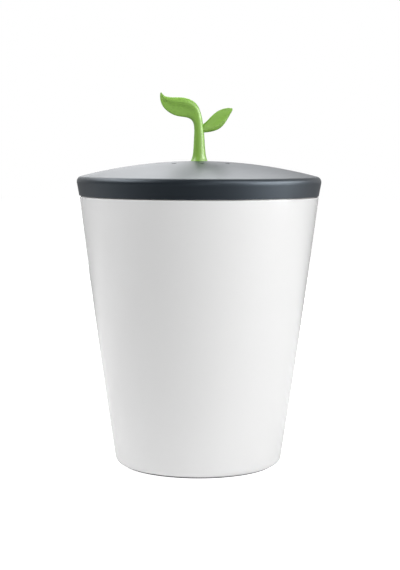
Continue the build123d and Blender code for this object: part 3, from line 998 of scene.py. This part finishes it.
@dataclass
class Lid:
    """The domed lid, with its ring of vents and all that stands under it.

    Attributes:
        rim_radius: outside, at the band's lower edge.
        band: height of the band's lower edge.
        turn: radius and height of the centre that the shoulder turns about.
        shoulder: radius of the shoulder.
        dome: radius of the dome.
        wall: thickness of the skin.
        vent_circle: radius of the ring of vents.
        vent_radius: radius of a vent.
        vent_rim: how far a vent's edge is rounded.
        vent_rim_middle: share of the rounding that is left half-way round it.
        vent_count: the number of vents.
        vent_turn: direction of the front vent, in degrees from +X.
        vent_belt: inner and outer radius of the belt of dome that the vents are cut in.
        seat: radius and height of the sprout's seat.
        pad: radius and height of the pad under the seat.
        housing: inner and outer radius, and height of the lower edge, of the filter's housing.
        plug: the same of the plug ring.
        land: the same of the ring that presses on the seal.
        lug: inner and outer radius, and lower and upper height, of a bayonet lug.
        stop_top: height of the top of a lug's stop.
        rib: inner and outer radius, and height of the lower edge, of a rib over the filter.
        rib_width: thickness of a rib.
        rib_count: the number of ribs.
        lug_count: the number of lugs.
        lug_span: where the first lug starts, from +X, and how far it reaches, in degrees.
        stop_span: the same of its stop.
        lug_steps: faces of a lug round the axis.
        band_edge: radius of the rounding along the band's lower edge.
        ring_edge: radius of the rounding of the land, the housing and the pad.
        plug_edge: radius of the rounding of the plug ring.
        root_edge: length of the short edge at the housing's root, which merging takes out.
        dome_steps: edges along the dome, above and below, outside the belt and then inside it.
        shoulder_steps: edges round the shoulder, outside and inside.
        cells: cells across one vent's share of the belt.
        hole: share of the cells across that makes way for the vent.
    """

    rim_radius: float = 96.5
    band: float = 218.2
    turn: tuple[float, float] = (93.9, 229.4)
    shoulder: float = 4.6
    dome: float = 377.0
    wall: float = 2.2
    vent_circle: float = 36.0
    vent_radius: float = 2.0
    vent_rim: float = 0.12
    vent_rim_middle: float = 0.29
    vent_count: int = 10
    vent_turn: float = -87.0
    vent_belt: tuple[float, float] = (27.0, 45.0)
    seat: tuple[float, float] = (7.157, 245.58)
    pad: tuple[float, float] = (8.0, 242.63)
    housing: tuple[float, float, float] = (46.8, 48.6, 229.43)
    plug: tuple[float, float, float] = (86.68, 88.88, 220.5)
    land: tuple[float, float, float] = (90.195, 92.195, 226.3)
    lug: tuple[float, float, float, float] = (47.7, 49.9, 230.03, 231.53)
    stop_top: float = 233.33
    rib: tuple[float, float, float] = (13.0, 47.7, 238.93)
    rib_width: float = 1.6
    rib_count: int = 5
    lug_count: int = 3
    lug_span: tuple[float, float] = (-12.0, 24.0)
    stop_span: tuple[float, float] = (12.4, 2.0)
    lug_steps: int = 8
    band_edge: float = 0.35
    ring_edge: float = 0.3
    plug_edge: float = 0.5
    root_edge: float = 0.01
    dome_steps: tuple[int, int, int, int] = (10, 8, 5, 4)
    shoulder_steps: tuple[int, int] = (12, 6)
    cells: int = 12
    hole: float = 0.5

    def __post_init__(self) -> None:
        """Works out the band's lean and the dome's centre, each tangent to the shoulder."""
        across = self.turn[0] - self.rim_radius
        rise = self.turn[1] - self.band
        span = math.hypot(across, rise)
        self.lean = math.pi / 2 - (math.atan2(rise, across) - math.asin(self.shoulder / span))
        drop = math.sqrt((self.dome - self.shoulder) ** 2 - self.turn[0] ** 2)
        self.centre = (0.0, self.turn[1] - drop)
        self.dome_start = math.atan2(drop, self.turn[0])
        self.steps = self.cells * self.vent_count

    def skin(self, radius: float, depth: float = 0.0) -> float:
        """Height of the dome at a radius, that far under its outside."""
        return self.centre[1] + math.sqrt((self.dome - depth) ** 2 - radius**2)

    def over_dome(self, section: Section, radius: float, depth: float, steps: int) -> None:
        """Draws along the dome to a radius.

        Args:
            section: the section, with its pen on the dome.
            radius: where the arc ends.
            depth: how far under the dome's outside it runs.
            steps: the number of its edges.
        """
        size = self.dome - depth
        start = math.acos(section.last.co.x / MM / size)
        angle = math.degrees(math.acos(radius / size) - start)
        section.sweep(self.centre, angle, steps)

    def ring_down(self, section: Section, ring: tuple[float, float, float], rounding: float) -> None:
        """Draws down and up round a ring under the skin, coming from outside it.

        Args:
            section: the section, with its pen at the ring's root.
            ring: inner radius, outer radius and height of the lower edge.
            rounding: radius of the rounding of its lower edges.
        """
        inner, outer, height = ring
        section.line(outer, self.skin(outer, self.wall))
        section.line(outer, height, rounding)
        section.line(inner, height, rounding)
        section.line(inner, self.skin(inner, self.wall))

    def outer_part(self) -> bmesh.types.BMesh:
        """The lid outside the belt of vents: dome, shoulder, band and the rings under them."""
        belt = self.vent_belt[1]
        sweep = math.degrees(self.dome_start + self.lean)
        section = Section(belt, self.skin(belt))
        start = math.acos(belt / self.dome)
        section.sweep(self.centre, math.degrees(self.dome_start - start), self.dome_steps[0])
        section.sweep(self.turn, -sweep, self.shoulder_steps[0])
        section.line(self.rim_radius, self.band, self.band_edge)
        inside = self.rim_radius - self.wall / math.cos(self.lean)
        section.line(inside, self.band, self.band_edge)
        inner = self.shoulder - self.wall
        radius = self.turn[0] + inner * math.cos(self.lean)
        section.line(radius, self.turn[1] - inner * math.sin(self.lean))
        section.sweep(self.turn, sweep, self.shoulder_steps[1])
        self.ring_down(section, self.land, self.ring_edge)
        self.ring_down(section, self.plug, self.plug_edge)
        end = self.housing[1] + self.root_edge
        self.over_dome(section, end, self.wall, self.dome_steps[1])
        self.ring_down(section, self.housing, self.ring_edge)
        section.line(belt, self.skin(belt, self.wall))
        return section.turned(self.steps, closed=False)

    def inner_part(self) -> bmesh.types.BMesh:
        """The lid inside the belt of vents: dome, the sprout's seat and the pad under it."""
        belt = self.vent_belt[0]
        section = Section(belt, self.skin(belt))
        self.over_dome(section, self.seat[0], 0.0, self.dome_steps[2])
        section.line(*self.seat)
        section.line(0, self.seat[1])
        section.line(0, self.pad[1])
        section.line(*self.pad, self.ring_edge)
        section.line(self.pad[0], self.skin(self.pad[0], self.wall))
        self.over_dome(section, belt, self.wall, self.dome_steps[3])
        return section.turned(self.steps, closed=False)

    def belt_skin(
        self, shape: bmesh.types.BMesh, radius: float, depth: float
    ) -> list[bmesh.types.BMEdge]:
        """One vent's share of one skin of the belt, with a round hole in it.

        Args:
            shape: the mesh that it is added to.
            radius: the hole's radius.
            depth: how far under the dome's outside it lies.

        Returns:
            The hole's edges.
        """
        before = set(shape.verts)
        made = bmesh.ops.create_grid(shape, x_segments=self.cells, y_segments=self.cells, size=1.0)
        faces = dict.fromkeys(face for vert in made["verts"] for face in vert.link_faces)
        middle = [
            face for face in faces if max(abs(share) for share in face.calc_center_median()) < self.hole
        ]
        inner = [
            edge
            for face in middle
            for edge in face.edges
            if any(other not in middle for other in edge.link_faces)
        ]
        bmesh.ops.delete(shape, geom=middle, context="FACES")
        low, high = self.vent_belt
        half_turn = math.pi / self.vent_count
        for vert in made["verts"]:
            if not vert.is_valid:
                continue
            out = (low + high) / 2 + vert.co.y * (high - low) / 2
            angle = math.radians(self.vent_turn) + vert.co.x * half_turn
            vert.co = (out * MM * math.cos(angle), out * MM * math.sin(angle), 0.0)
        where = math.radians(self.vent_turn)
        middle_point = Vector((math.cos(where), math.sin(where), 0.0)) * self.vent_circle * MM
        hole = bmesh.ops.create_circle(
            shape,
            cap_ends=False,
            radius=radius * MM,
            segments=len(inner),
            matrix=Matrix.Translation(middle_point + LIFT) @ Matrix.Rotation(where, 4, "Z"),
        )
        hole_edges = edges_at(hole["verts"])
        bmesh.ops.bridge_loops(shape, edges=inner + hole_edges)
        for vert in shape.verts:
            if vert not in before:
                vert.co.z = self.skin(math.hypot(vert.co.x, vert.co.y) / MM, depth) * MM
        return hole_edges

    def belt(self) -> bmesh.types.BMesh:
        """The belt of dome round the axis that the vents are cut in."""
        shape = bmesh.new()
        edges = self.belt_skin(shape, self.vent_radius + self.vent_rim, 0.0)
        rim = corners_of(edges)
        centre = sum((vert.co for vert in rim), Vector(ORIGIN)) / len(rim)
        # The vent's edge is rounded in two steps before its wall goes straight down
        middle = self.vent_rim * self.vent_rim_middle
        for radius, fall in ((self.vent_radius + middle, middle), (self.vent_radius, self.vent_rim)):
            made = bmesh.ops.extrude_edge_only(shape, edges=edges)
            edges = [item for item in made["geom"] if isinstance(item, bmesh.types.BMEdge)]
            for vert in corners_of(edges):
                way = Vector((vert.co.x - centre.x, vert.co.y - centre.y)).normalized() * radius * MM
                rim_height = self.skin(math.hypot(centre.x + way.x, centre.y + way.y) / MM)
                vert.co = (centre.x + way.x, centre.y + way.y, (rim_height - fall) * MM)
        lower = self.belt_skin(shape, self.vent_radius, self.wall)
        bmesh.ops.bridge_loops(shape, edges=edges + lower)
        whole = shape.verts[:] + shape.edges[:] + shape.faces[:]
        others = self.vent_count - 1
        spin(shape, whole, math.tau * others / self.vent_count, others, duplicate=True)
        merge_corners(shape, SEAM_DISTANCE)
        return shape

    def rib_shape(self, angle: float) -> bmesh.types.BMesh:
        """One rib, which holds the filters off the vents.

        Args:
            angle: its direction, in degrees from +X.

        Returns:
            Its mesh.
        """
        inner, outer, height = self.rib
        section = Section(inner, height, EDGE)
        section.line(outer, height)
        section.line(outer, self.skin(outer, self.wall / 2))
        section.line(inner, self.skin(inner, self.wall / 2))
        return section.slab(self.rib_width, angle)

    def lug_shape(self, start: float, angle: float, top: float, steps: int) -> bmesh.types.BMesh:
        """One bayonet lug or its stop.

        Args:
            start: where it starts, in degrees from +X.
            angle: how far it reaches round.
            top: height of its top.
            steps: faces round the axis.

        Returns:
            Its mesh.
        """
        inner, outer, height, _ = self.lug
        section = Section(inner, height)
        section.line(outer, height)
        section.line(outer, top)
        section.line(inner, top)
        return section.part_turned(start, angle, steps)

    def build(self, paints: Paints) -> None:
        """Makes the lid."""
        shape = self.belt()
        absorb(shape, self.outer_part())
        absorb(shape, self.inner_part())
        merge_corners(shape, SEAM_DISTANCE)
        first_rib = self.vent_turn + 180 / self.vent_count
        for index in range(self.rib_count):
            absorb(shape, self.rib_shape(first_rib + 360 / self.rib_count * index))
        for index in range(self.lug_count):
            turn = 360 / self.lug_count * index
            start, reach = self.lug_span
            absorb(shape, self.lug_shape(start + turn, reach, self.lug[3], self.lug_steps))
            start, reach = self.stop_span
            absorb(shape, self.lug_shape(start + turn, reach, self.stop_top, 1))
        finish_piece("domed_lid", shape, Body.LID, LID_FINISH, paints, ["lid_shell"])


@dataclass
class Seal:
    """The flat silicone ring round the plug.

    Attributes:
        ring: inner and outer radius.
        heights: lower and upper height.
        steps: faces round the axis.
    """

    ring: tuple[float, float] = (88.98, 93.41)
    heights: tuple[float, float] = (224.8, 226.3)
    steps: int = 144

    def build(self, paints: Paints) -> None:
        """Makes the seal."""
        section = Section(self.ring[0], self.heights[0])
        section.line(self.ring[1], self.heights[0], EDGE)
        section.line(self.ring[1], self.heights[1], EDGE)
        section.line(self.ring[0], self.heights[1])
        shape = section.turned(self.steps)
        finish_piece("silicone_seal", shape, Body.LID, SEAL_FINISH, paints, ["lid_seal"])


@dataclass(frozen=True)
class Slice:
    """One section of the sprout, square to its spine.

    Attributes:
        reach: distance of its middle from the stem's axis, towards +X.
        rise: height of its middle above the dome.
        width: its width.
        tilt: angle of its width above the level, in degrees.
        depth: its thickness, front to back.
        leafiness: 0 for round, 1 for a leaf's outline.
    """

    reach: float
    rise: float
    width: float
    tilt: float
    depth: float
    leafiness: float


@dataclass
class Sprout:
    """The handle: a stem that turns over into one large leaf, and a small leaf at its side.

    Attributes:
        dome_top: height of the top of the dome.
        seat: height of the seat that the foot stands on.
        stem: sections of the stem and the large leaf, from the foot up.
        side: sections of the small leaf, which starts inside the stem.
        outline: a leaf's outline, as shares of half its width and half its thickness.
        cage: how much larger than the finished section the cage is, which smoothing shrinks.
        end_inset: width of the rim of faces round each end of a shoot.
        subdivisions: levels of Subdivision Surface over the cage.
    """

    dome_top: float = 246.03
    seat: float = 245.58
    cage: float = 1.027
    end_inset: float = 0.1
    subdivisions: int = 2
    stem: Sequence[Slice] = (
        Slice(0.0, -0.45, 14.0, 0.0, 14.0, 0.0),
        Slice(0.0, 0.3, 13.5, 0.0, 13.5, 0.0),
        Slice(0.1, 2.4, 11.4, 0.0, 11.4, 0.0),
        Slice(0.1, 6.6, 10.0, 0.0, 10.0, 0.0),
        Slice(0.0, 12.5, 9.1, 0.0, 9.1, 0.0),
        Slice(0.0, 19.4, 8.5, 0.0, 8.5, 0.0),
        Slice(-0.2, 26.4, 7.4, 0.0, 7.5, 0.0),
        Slice(-1.2, 32.8, 7.8, 23.0, 7.4, 0.15),
        Slice(-3.3, 37.7, 10.8, 45.0, 7.3, 0.45),
        Slice(-6.5, 40.7, 14.1, 53.5, 7.2, 0.8),
        Slice(-11.3, 42.8, 16.2, 65.5, 7.0, 1.0),
        Slice(-17.1, 43.8, 15.9, 72.5, 6.4, 1.0),
        Slice(-22.9, 44.9, 12.6, 73.5, 5.4, 1.0),
        Slice(-27.4, 46.9, 9.3, 72.0, 4.2, 1.0),
        Slice(-29.7, 49.5, 6.0, 63.0, 3.1, 1.0),
        Slice(-30.8, 52.5, 3.3, 54.0, 2.0, 1.0),
        Slice(-31.0, 54.6, 1.1, 45.0, 1.0, 1.0),
    )
    side: Sequence[Slice] = (
        Slice(2.2, 25.2, 5.6, -62.0, 5.0, 0.0),
        Slice(6.6, 27.2, 8.7, -76.0, 4.7, 0.4),
        Slice(10.9, 29.9, 12.1, -76.5, 4.5, 0.8),
        Slice(15.6, 32.9, 14.3, -78.5, 4.2, 1.0),
        Slice(20.1, 36.2, 11.6, -80.5, 3.4, 1.0),
        Slice(23.8, 39.4, 6.6, -83.0, 2.3, 1.0),
        Slice(26.7, 41.5, 1.5, -80.0, 1.0, 1.0),
    )
    outline: Sequence[tuple[float, float]] = (
        (1.0, 0.0),
        (0.93, 0.55),
        (0.7, 0.88),
        (0.38, 0.9),
        (0.0, 0.8),
        (-0.4, 0.62),
        (-0.75, 0.42),
        (-0.94, 0.22),
        (-1.0, 0.0),
        (-0.95, -0.18),
        (-0.78, -0.24),
        (-0.4, -0.33),
        (-0.02, -0.45),
        (0.3, -0.76),
        (0.58, -0.92),
        (0.83, -0.56),
    )

    def slice_edges(self, shape: bmesh.types.BMesh, cut: Slice) -> list[bmesh.types.BMEdge]:
        """Adds one section to the sprout's cage.

        Args:
            shape: the cage.
            cut: the section.

        Returns:
            Its edges.
        """
        count = len(self.outline)
        circle = bmesh.ops.create_circle(shape, cap_ends=False, radius=1.0, segments=count)
        tilt = math.radians(cut.tilt)
        place = Matrix.Translation((cut.reach * MM, 0.0, (self.dome_top + cut.rise) * MM))
        place @= Matrix.Rotation(-tilt, 4, "Y")
        size = Vector((cut.width, cut.depth)) * self.cage * MM / 2
        for vert in circle["verts"]:
            index = round(math.atan2(vert.co.y, vert.co.x) / math.tau * count) % count
            leaf = Vector(self.outline[index])
            point = Vector((vert.co.x, vert.co.y)).lerp(leaf, cut.leafiness)
            vert.co = place @ Vector((point.x * size.x, point.y * size.y, 0.0))
        return edges_at(circle["verts"])

    def shoot(self, cuts: Iterable[Slice]) -> bmesh.types.BMesh:
        """Bridges a run of sections and closes both its ends.

        Args:
            cuts: the sections, in order.

        Returns:
            The closed cage.
        """
        shape = bmesh.new()
        loops = [self.slice_edges(shape, cut) for cut in cuts]
        for near, far in zip(loops, loops[1:]):
            bmesh.ops.bridge_loops(shape, edges=near + far)
        for loop in (loops[0], loops[-1]):
            cap = bmesh.ops.contextual_create(shape, geom=loop)["faces"]
            inset = self.end_inset * MM
            bmesh.ops.inset_region(shape, faces=cap, thickness=inset, use_even_offset=True)
            bmesh.ops.poke(shape, faces=cap)
        return shape

    def build(self, paints: Paints) -> None:
        """Makes the handle, with the small leaf let into the stem."""
        shape = self.shoot(self.stem)
        absorb(shape, self.shoot(self.side))
        nodes = ["sprout_handle"]
        finish_piece("sprout", shape, Body.LID, SPROUT_FINISH, paints, nodes, self.subdivisions)


@dataclass(frozen=True)
class Lamp:
    """A soft box that hangs round the bin and is aimed at its middle.

    Attributes:
        name: its name.
        azimuth: where it hangs, in degrees from the front to the right.
        elevation: how high it hangs, in degrees.
        width: its width, in metres.
        height: its height, in metres.
        power: its power, in watts.
        distance: how far it hangs from the bin's middle, in metres.
        card: whether it stands for a white card, which gloss shows and which gives no light.
    """

    name: str
    azimuth: float
    elevation: float
    width: float
    height: float
    power: float
    distance: float = 1.5
    card: bool = False

    def hang(self) -> None:
        """Hangs the lamp."""
        turn = math.radians(self.azimuth)
        lift = math.radians(self.elevation)
        level = math.cos(lift)
        way = Vector((math.sin(turn) * level, -math.cos(turn) * level, math.sin(lift)))
        lamp = bpy.data.lights.new(self.name, "AREA")
        lamp.shape = "RECTANGLE"
        lamp.size = self.width
        lamp.size_y = self.height
        lamp.energy = self.power
        hung = bpy.data.objects.new(self.name, lamp)
        hung.location = BIN_MIDDLE + way * self.distance
        hung.rotation_euler = (-way).to_track_quat("-Z", "Y").to_euler()
        hung.visible_camera = False
        hung.visible_diffuse = not self.card
        bpy.context.scene.collection.objects.link(hung)


@dataclass
class Studio:
    """The floor, the light and the camera.

    Attributes:
        lens: focal length, in millimetres.
        sensor: the sensor's size along the picture's long side, in millimetres.
        sight: how far the camera sees, in metres.
        stand: the camera's place, in metres.
        pitch: how far it looks down, in degrees.
        yaw: how far it looks to the right of +Y, in degrees.
        roll: how far it is turned anticlockwise, in degrees.
        ambient: light from all round on matt surfaces.
        light_side: how bright the backdrop's side of the studio is in reflections.
        side_reach: where that side begins and is full, as shares of the way from the front to the back.
        dark_side: how bright the unlit side, behind the camera, is in reflections.
        floor_side: how strongly the floor glows in reflections, a painted reflection, away from its
            dark patch.
        dark_patch: middle of the patch before the bin where that painted glow is dark, standing in for
            the unlit side of the studio.
        dark_reach: distances from it at which the floor starts to brighten and is bright.
        far_reach: distances behind the bin at which the floor's brightness starts to drop and is low.
        far_share: share of its brightness that is left there.
        floor_radius: radius of the floor, in metres.
        floor_steps: corners of the floor's edge.
        paper: sRGB colour of the floor.
        paper_roughness: roughness of the floor.
        paper_glow: plain white that the floor shows besides its lit colour.
        painted_bounce: glow painted on the floor round the foot, which only matt surfaces see, standing
            in for light that the floor throws back.
        bounce_reach: distances from the axis at which it starts to fade and is gone.
        lamps: the soft boxes.
    """

    lens: float = 88.75
    sensor: float = 36.0
    sight: float = 50.0
    stand: tuple[float, float, float] = (0.0, -1.1377, 0.2563)
    pitch: float = 5.5626
    yaw: float = 0.0537
    roll: float = 0.212
    ambient: float = 0.15
    light_side: float = 0.6
    side_reach: tuple[float, float] = (-0.3, 0.5)
    dark_side: float = 0.04
    floor_side: float = 0.95
    dark_patch: tuple[float, float, float] = (-0.14, -0.62, 0.0)
    dark_reach: tuple[float, float] = (0.3, 0.8)
    far_reach: tuple[float, float] = (0.4, 0.8)
    far_share: float = 0.3
    floor_radius: float = 6.0
    floor_steps: int = 64
    paper: str = "#eeeeee"
    paper_roughness: float = 0.9
    paper_glow: float = 0.88
    painted_bounce: float = 0.24
    bounce_reach: tuple[float, float] = (0.1, 0.3)
    lamps: Sequence[Lamp] = (
        Lamp("key_lamp", 70.0, 12.0, 0.45, 1.2, 3.05),
        Lamp("low_key_lamp", 55.0, 0.0, 0.5, 0.7, 3.9, distance=1.2),
        Lamp("high_key_lamp", 45.0, 45.0, 0.9, 0.7, 8.1),
        Lamp("front_lamp", 10.0, 12.0, 0.45, 1.2, 2.2),
        Lamp("back_lamp", 180.0, 45.0, 0.9, 0.7, 9.1),
        Lamp("low_back_lamp", -170.0, 12.0, 0.45, 1.2, 2.5),
        Lamp("back_fill_lamp", -135.0, 45.0, 0.9, 0.7, 4.2),
        Lamp("side_fill_lamp", -90.0, 45.0, 0.9, 0.7, 11.5),
        Lamp("white_card", 80.0, 0.0, 0.5, 0.7, 7.5, distance=1.2, card=True),
        Lamp("high_white_card", 77.0, 28.0, 1.1, 0.25, 13.0, distance=1.2, card=True),
    )

    def mirrored(self, tree: bpy.types.NodeTree) -> bpy.types.NodeSocket:
        """Adds the test for rays that a surface mirrors or lets through.

        Args:
            tree: the node tree.

        Returns:
            1 for such a ray, else 0.
        """
        rays = add_node(tree, "ShaderNodeLightPath")
        either = add_node(
            tree,
            "ShaderNodeMath",
            {"operation": "MAXIMUM"},
            {0: rays.outputs["Is Glossy Ray"], 1: rays.outputs["Is Transmission Ray"]},
        )
        return either.outputs[0]

    def floor(self) -> None:
        """Lays the pale floor: plain white to the eye but for the bin's own shadow. It also glows as a
        painted reflection, dark in a patch before the bin, and as a painted bounce round the foot that
        only matt surfaces see.
        """
        shape = bmesh.new()
        bmesh.ops.create_circle(
            shape, cap_ends=True, radius=self.floor_radius, segments=self.floor_steps
        )
        mesh = bpy.data.meshes.new("floor")
        shape.to_mesh(mesh)
        shape.free()
        piece = bpy.data.objects.new("floor", mesh)
        bpy.context.scene.collection.objects.link(piece)
        material = bpy.data.materials.new("pale_paper_floor")
        material.use_nodes = True
        tree = material.node_tree
        shader = tree.nodes["Principled BSDF"]
        shader.inputs["Base Color"].default_value = linear(self.paper)
        shader.inputs["Roughness"].default_value = self.paper_roughness
        shader.inputs["Specular IOR Level"].default_value = 0.0
        place = add_node(tree, "ShaderNodeTexCoord").outputs["Object"]
        away = add_node(
            tree, "ShaderNodeVectorMath", {"operation": "DISTANCE", 1: self.dark_patch}, {0: place}
        )
        level = add_node(
            tree,
            "ShaderNodeMapRange",
            {1: self.dark_reach[0], 2: self.dark_reach[1], 3: self.dark_side, 4: self.floor_side},
            {0: away.outputs["Value"]},
        )
        far = add_node(
            tree,
            "ShaderNodeMapRange",
            {1: self.far_reach[0], 2: self.far_reach[1], 3: 1.0, 4: self.far_share},
            {0: add_node(tree, "ShaderNodeSeparateXYZ", links={0: place}).outputs["Y"]},
        )
        dimmed = add_node(
            tree, "ShaderNodeMath", {"operation": "MULTIPLY"}, {0: level.outputs[0], 1: far.outputs[0]}
        )
        share = add_node(
            tree,
            "ShaderNodeMath",
            {"operation": "MULTIPLY", 1: self.paper_glow},
            {0: self.mirrored(tree)},
        )
        # Painted reflection: the floor glows for mirrored rays, dimmed in the patch before the bin and
        # far behind it
        sheen = add_node(
            tree, "ShaderNodeEmission", {"Color": WHITE}, {"Strength": dimmed.outputs[0]}
        )
        mixed = add_node(
            tree,
            "ShaderNodeMixShader",
            links={0: share.outputs[0], 1: shader.outputs[0], 2: sheen.outputs[0]},
        )
        # Painted bounce: round the foot the floor glows, seen only by matt surfaces, to light the lower
        # side of the bin
        off_axis = add_node(tree, "ShaderNodeVectorMath", {"operation": "LENGTH"}, {0: place})
        painted_bounce = add_node(
            tree,
            "ShaderNodeMapRange",
            {1: self.bounce_reach[0], 2: self.bounce_reach[1], 3: self.painted_bounce, 4: 0.0},
            {0: off_axis.outputs["Value"]},
        )
        rays = add_node(tree, "ShaderNodeLightPath").outputs
        painted_bounce_for_matt = add_node(
            tree,
            "ShaderNodeMath",
            {"operation": "MULTIPLY"},
            {0: painted_bounce.outputs[0], 1: rays["Is Diffuse Ray"]},
        )
        seen = add_node(
            tree,
            "ShaderNodeMath",
            {"operation": "MULTIPLY_ADD", 1: self.paper_glow},
            {0: rays["Is Camera Ray"], 2: painted_bounce_for_matt.outputs[0]},
        )
        glow = add_node(tree, "ShaderNodeEmission", {"Color": WHITE}, {"Strength": seen.outputs[0]})
        total = add_node(tree, "ShaderNodeAddShader", links={0: mixed.outputs[0], 1: glow.outputs[0]})
        tree.links.new(total.outputs[0], tree.nodes["Material Output"].inputs["Surface"])
        mesh.materials.append(material)

    def surround(self) -> None:
        """Sets the world: white to the eye, and a level grey where it lights matt surfaces."""
        world = bpy.data.worlds.new("studio")
        bpy.context.scene.world = world
        world.use_nodes = True
        tree = world.node_tree
        tree.nodes.clear()
        place = add_node(tree, "ShaderNodeTexCoord").outputs["Generated"]
        parts = add_node(tree, "ShaderNodeSeparateXYZ", links={0: place})
        level = add_node(
            tree,
            "ShaderNodeMapRange",
            {1: self.side_reach[0], 2: self.side_reach[1], 3: self.dark_side, 4: self.light_side},
            {0: parts.outputs["Y"]},
        )
        matt = add_node(tree, "ShaderNodeBackground", {"Color": WHITE, "Strength": self.ambient})
        gloss = add_node(
            tree, "ShaderNodeBackground", {"Color": WHITE}, {"Strength": level.outputs[0]}
        )
        backdrop = add_node(tree, "ShaderNodeBackground", {"Color": WHITE})
        camera = add_node(tree, "ShaderNodeLightPath").outputs["Is Camera Ray"]
        lit = add_node(
            tree,
            "ShaderNodeMixShader",
            links={0: self.mirrored(tree), 1: matt.outputs[0], 2: gloss.outputs[0]},
        )
        mixed = add_node(
            tree, "ShaderNodeMixShader", links={0: camera, 1: lit.outputs[0], 2: backdrop.outputs[0]}
        )
        add_node(tree, "ShaderNodeOutputWorld", links={"Surface": mixed.outputs[0]})

    def camera(self) -> None:
        """Stands the camera where the photograph was taken from."""
        lens = bpy.data.cameras.new("camera")
        lens.lens = self.lens
        lens.sensor_width = self.sensor
        lens.clip_end = self.sight
        camera = bpy.data.objects.new("camera", lens)
        aim = Matrix.Rotation(-math.radians(self.yaw), 4, "Z")
        aim @= Matrix.Rotation(math.radians(90 - self.pitch), 4, "X")
        aim @= Matrix.Rotation(math.radians(self.roll), 4, "Z")
        camera.matrix_world = Matrix.Translation(self.stand) @ aim
        bpy.context.scene.collection.objects.link(camera)
        bpy.context.scene.camera = camera

    def build(self) -> None:
        """Sets up the whole studio."""
        self.floor()
        self.surround()
        for lamp in self.lamps:
            lamp.hang()
        self.camera()
        bpy.context.scene.view_settings.view_transform = "Standard"


KEPT_NODES: Mapping[str, Finish] = {
    "bail_handle": BAIL_FINISH,
    "handle_screw": STEEL_FINISH,
    "handle_washer": STEEL_FINISH,
    "upper_charcoal_filter": FELT_FINISH,
    "lower_charcoal_filter": FELT_FINISH,
    "filter_cover": LID_FINISH,
}


def main() -> None:
    """Builds the scene round the frame."""
    logging.basicConfig(level=logging.INFO, format="%(name)s %(message)s")
    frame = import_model()
    Studio().build()
    paints = Paints()
    for assembly in (Crock(), Bucket(), Lid(), Seal(), Sprout()):
        assembly.build(paints)
    for node, finish in KEPT_NODES.items():
        paints.dress_node(frame, node, finish)


if __name__ == "__main__":
    main()
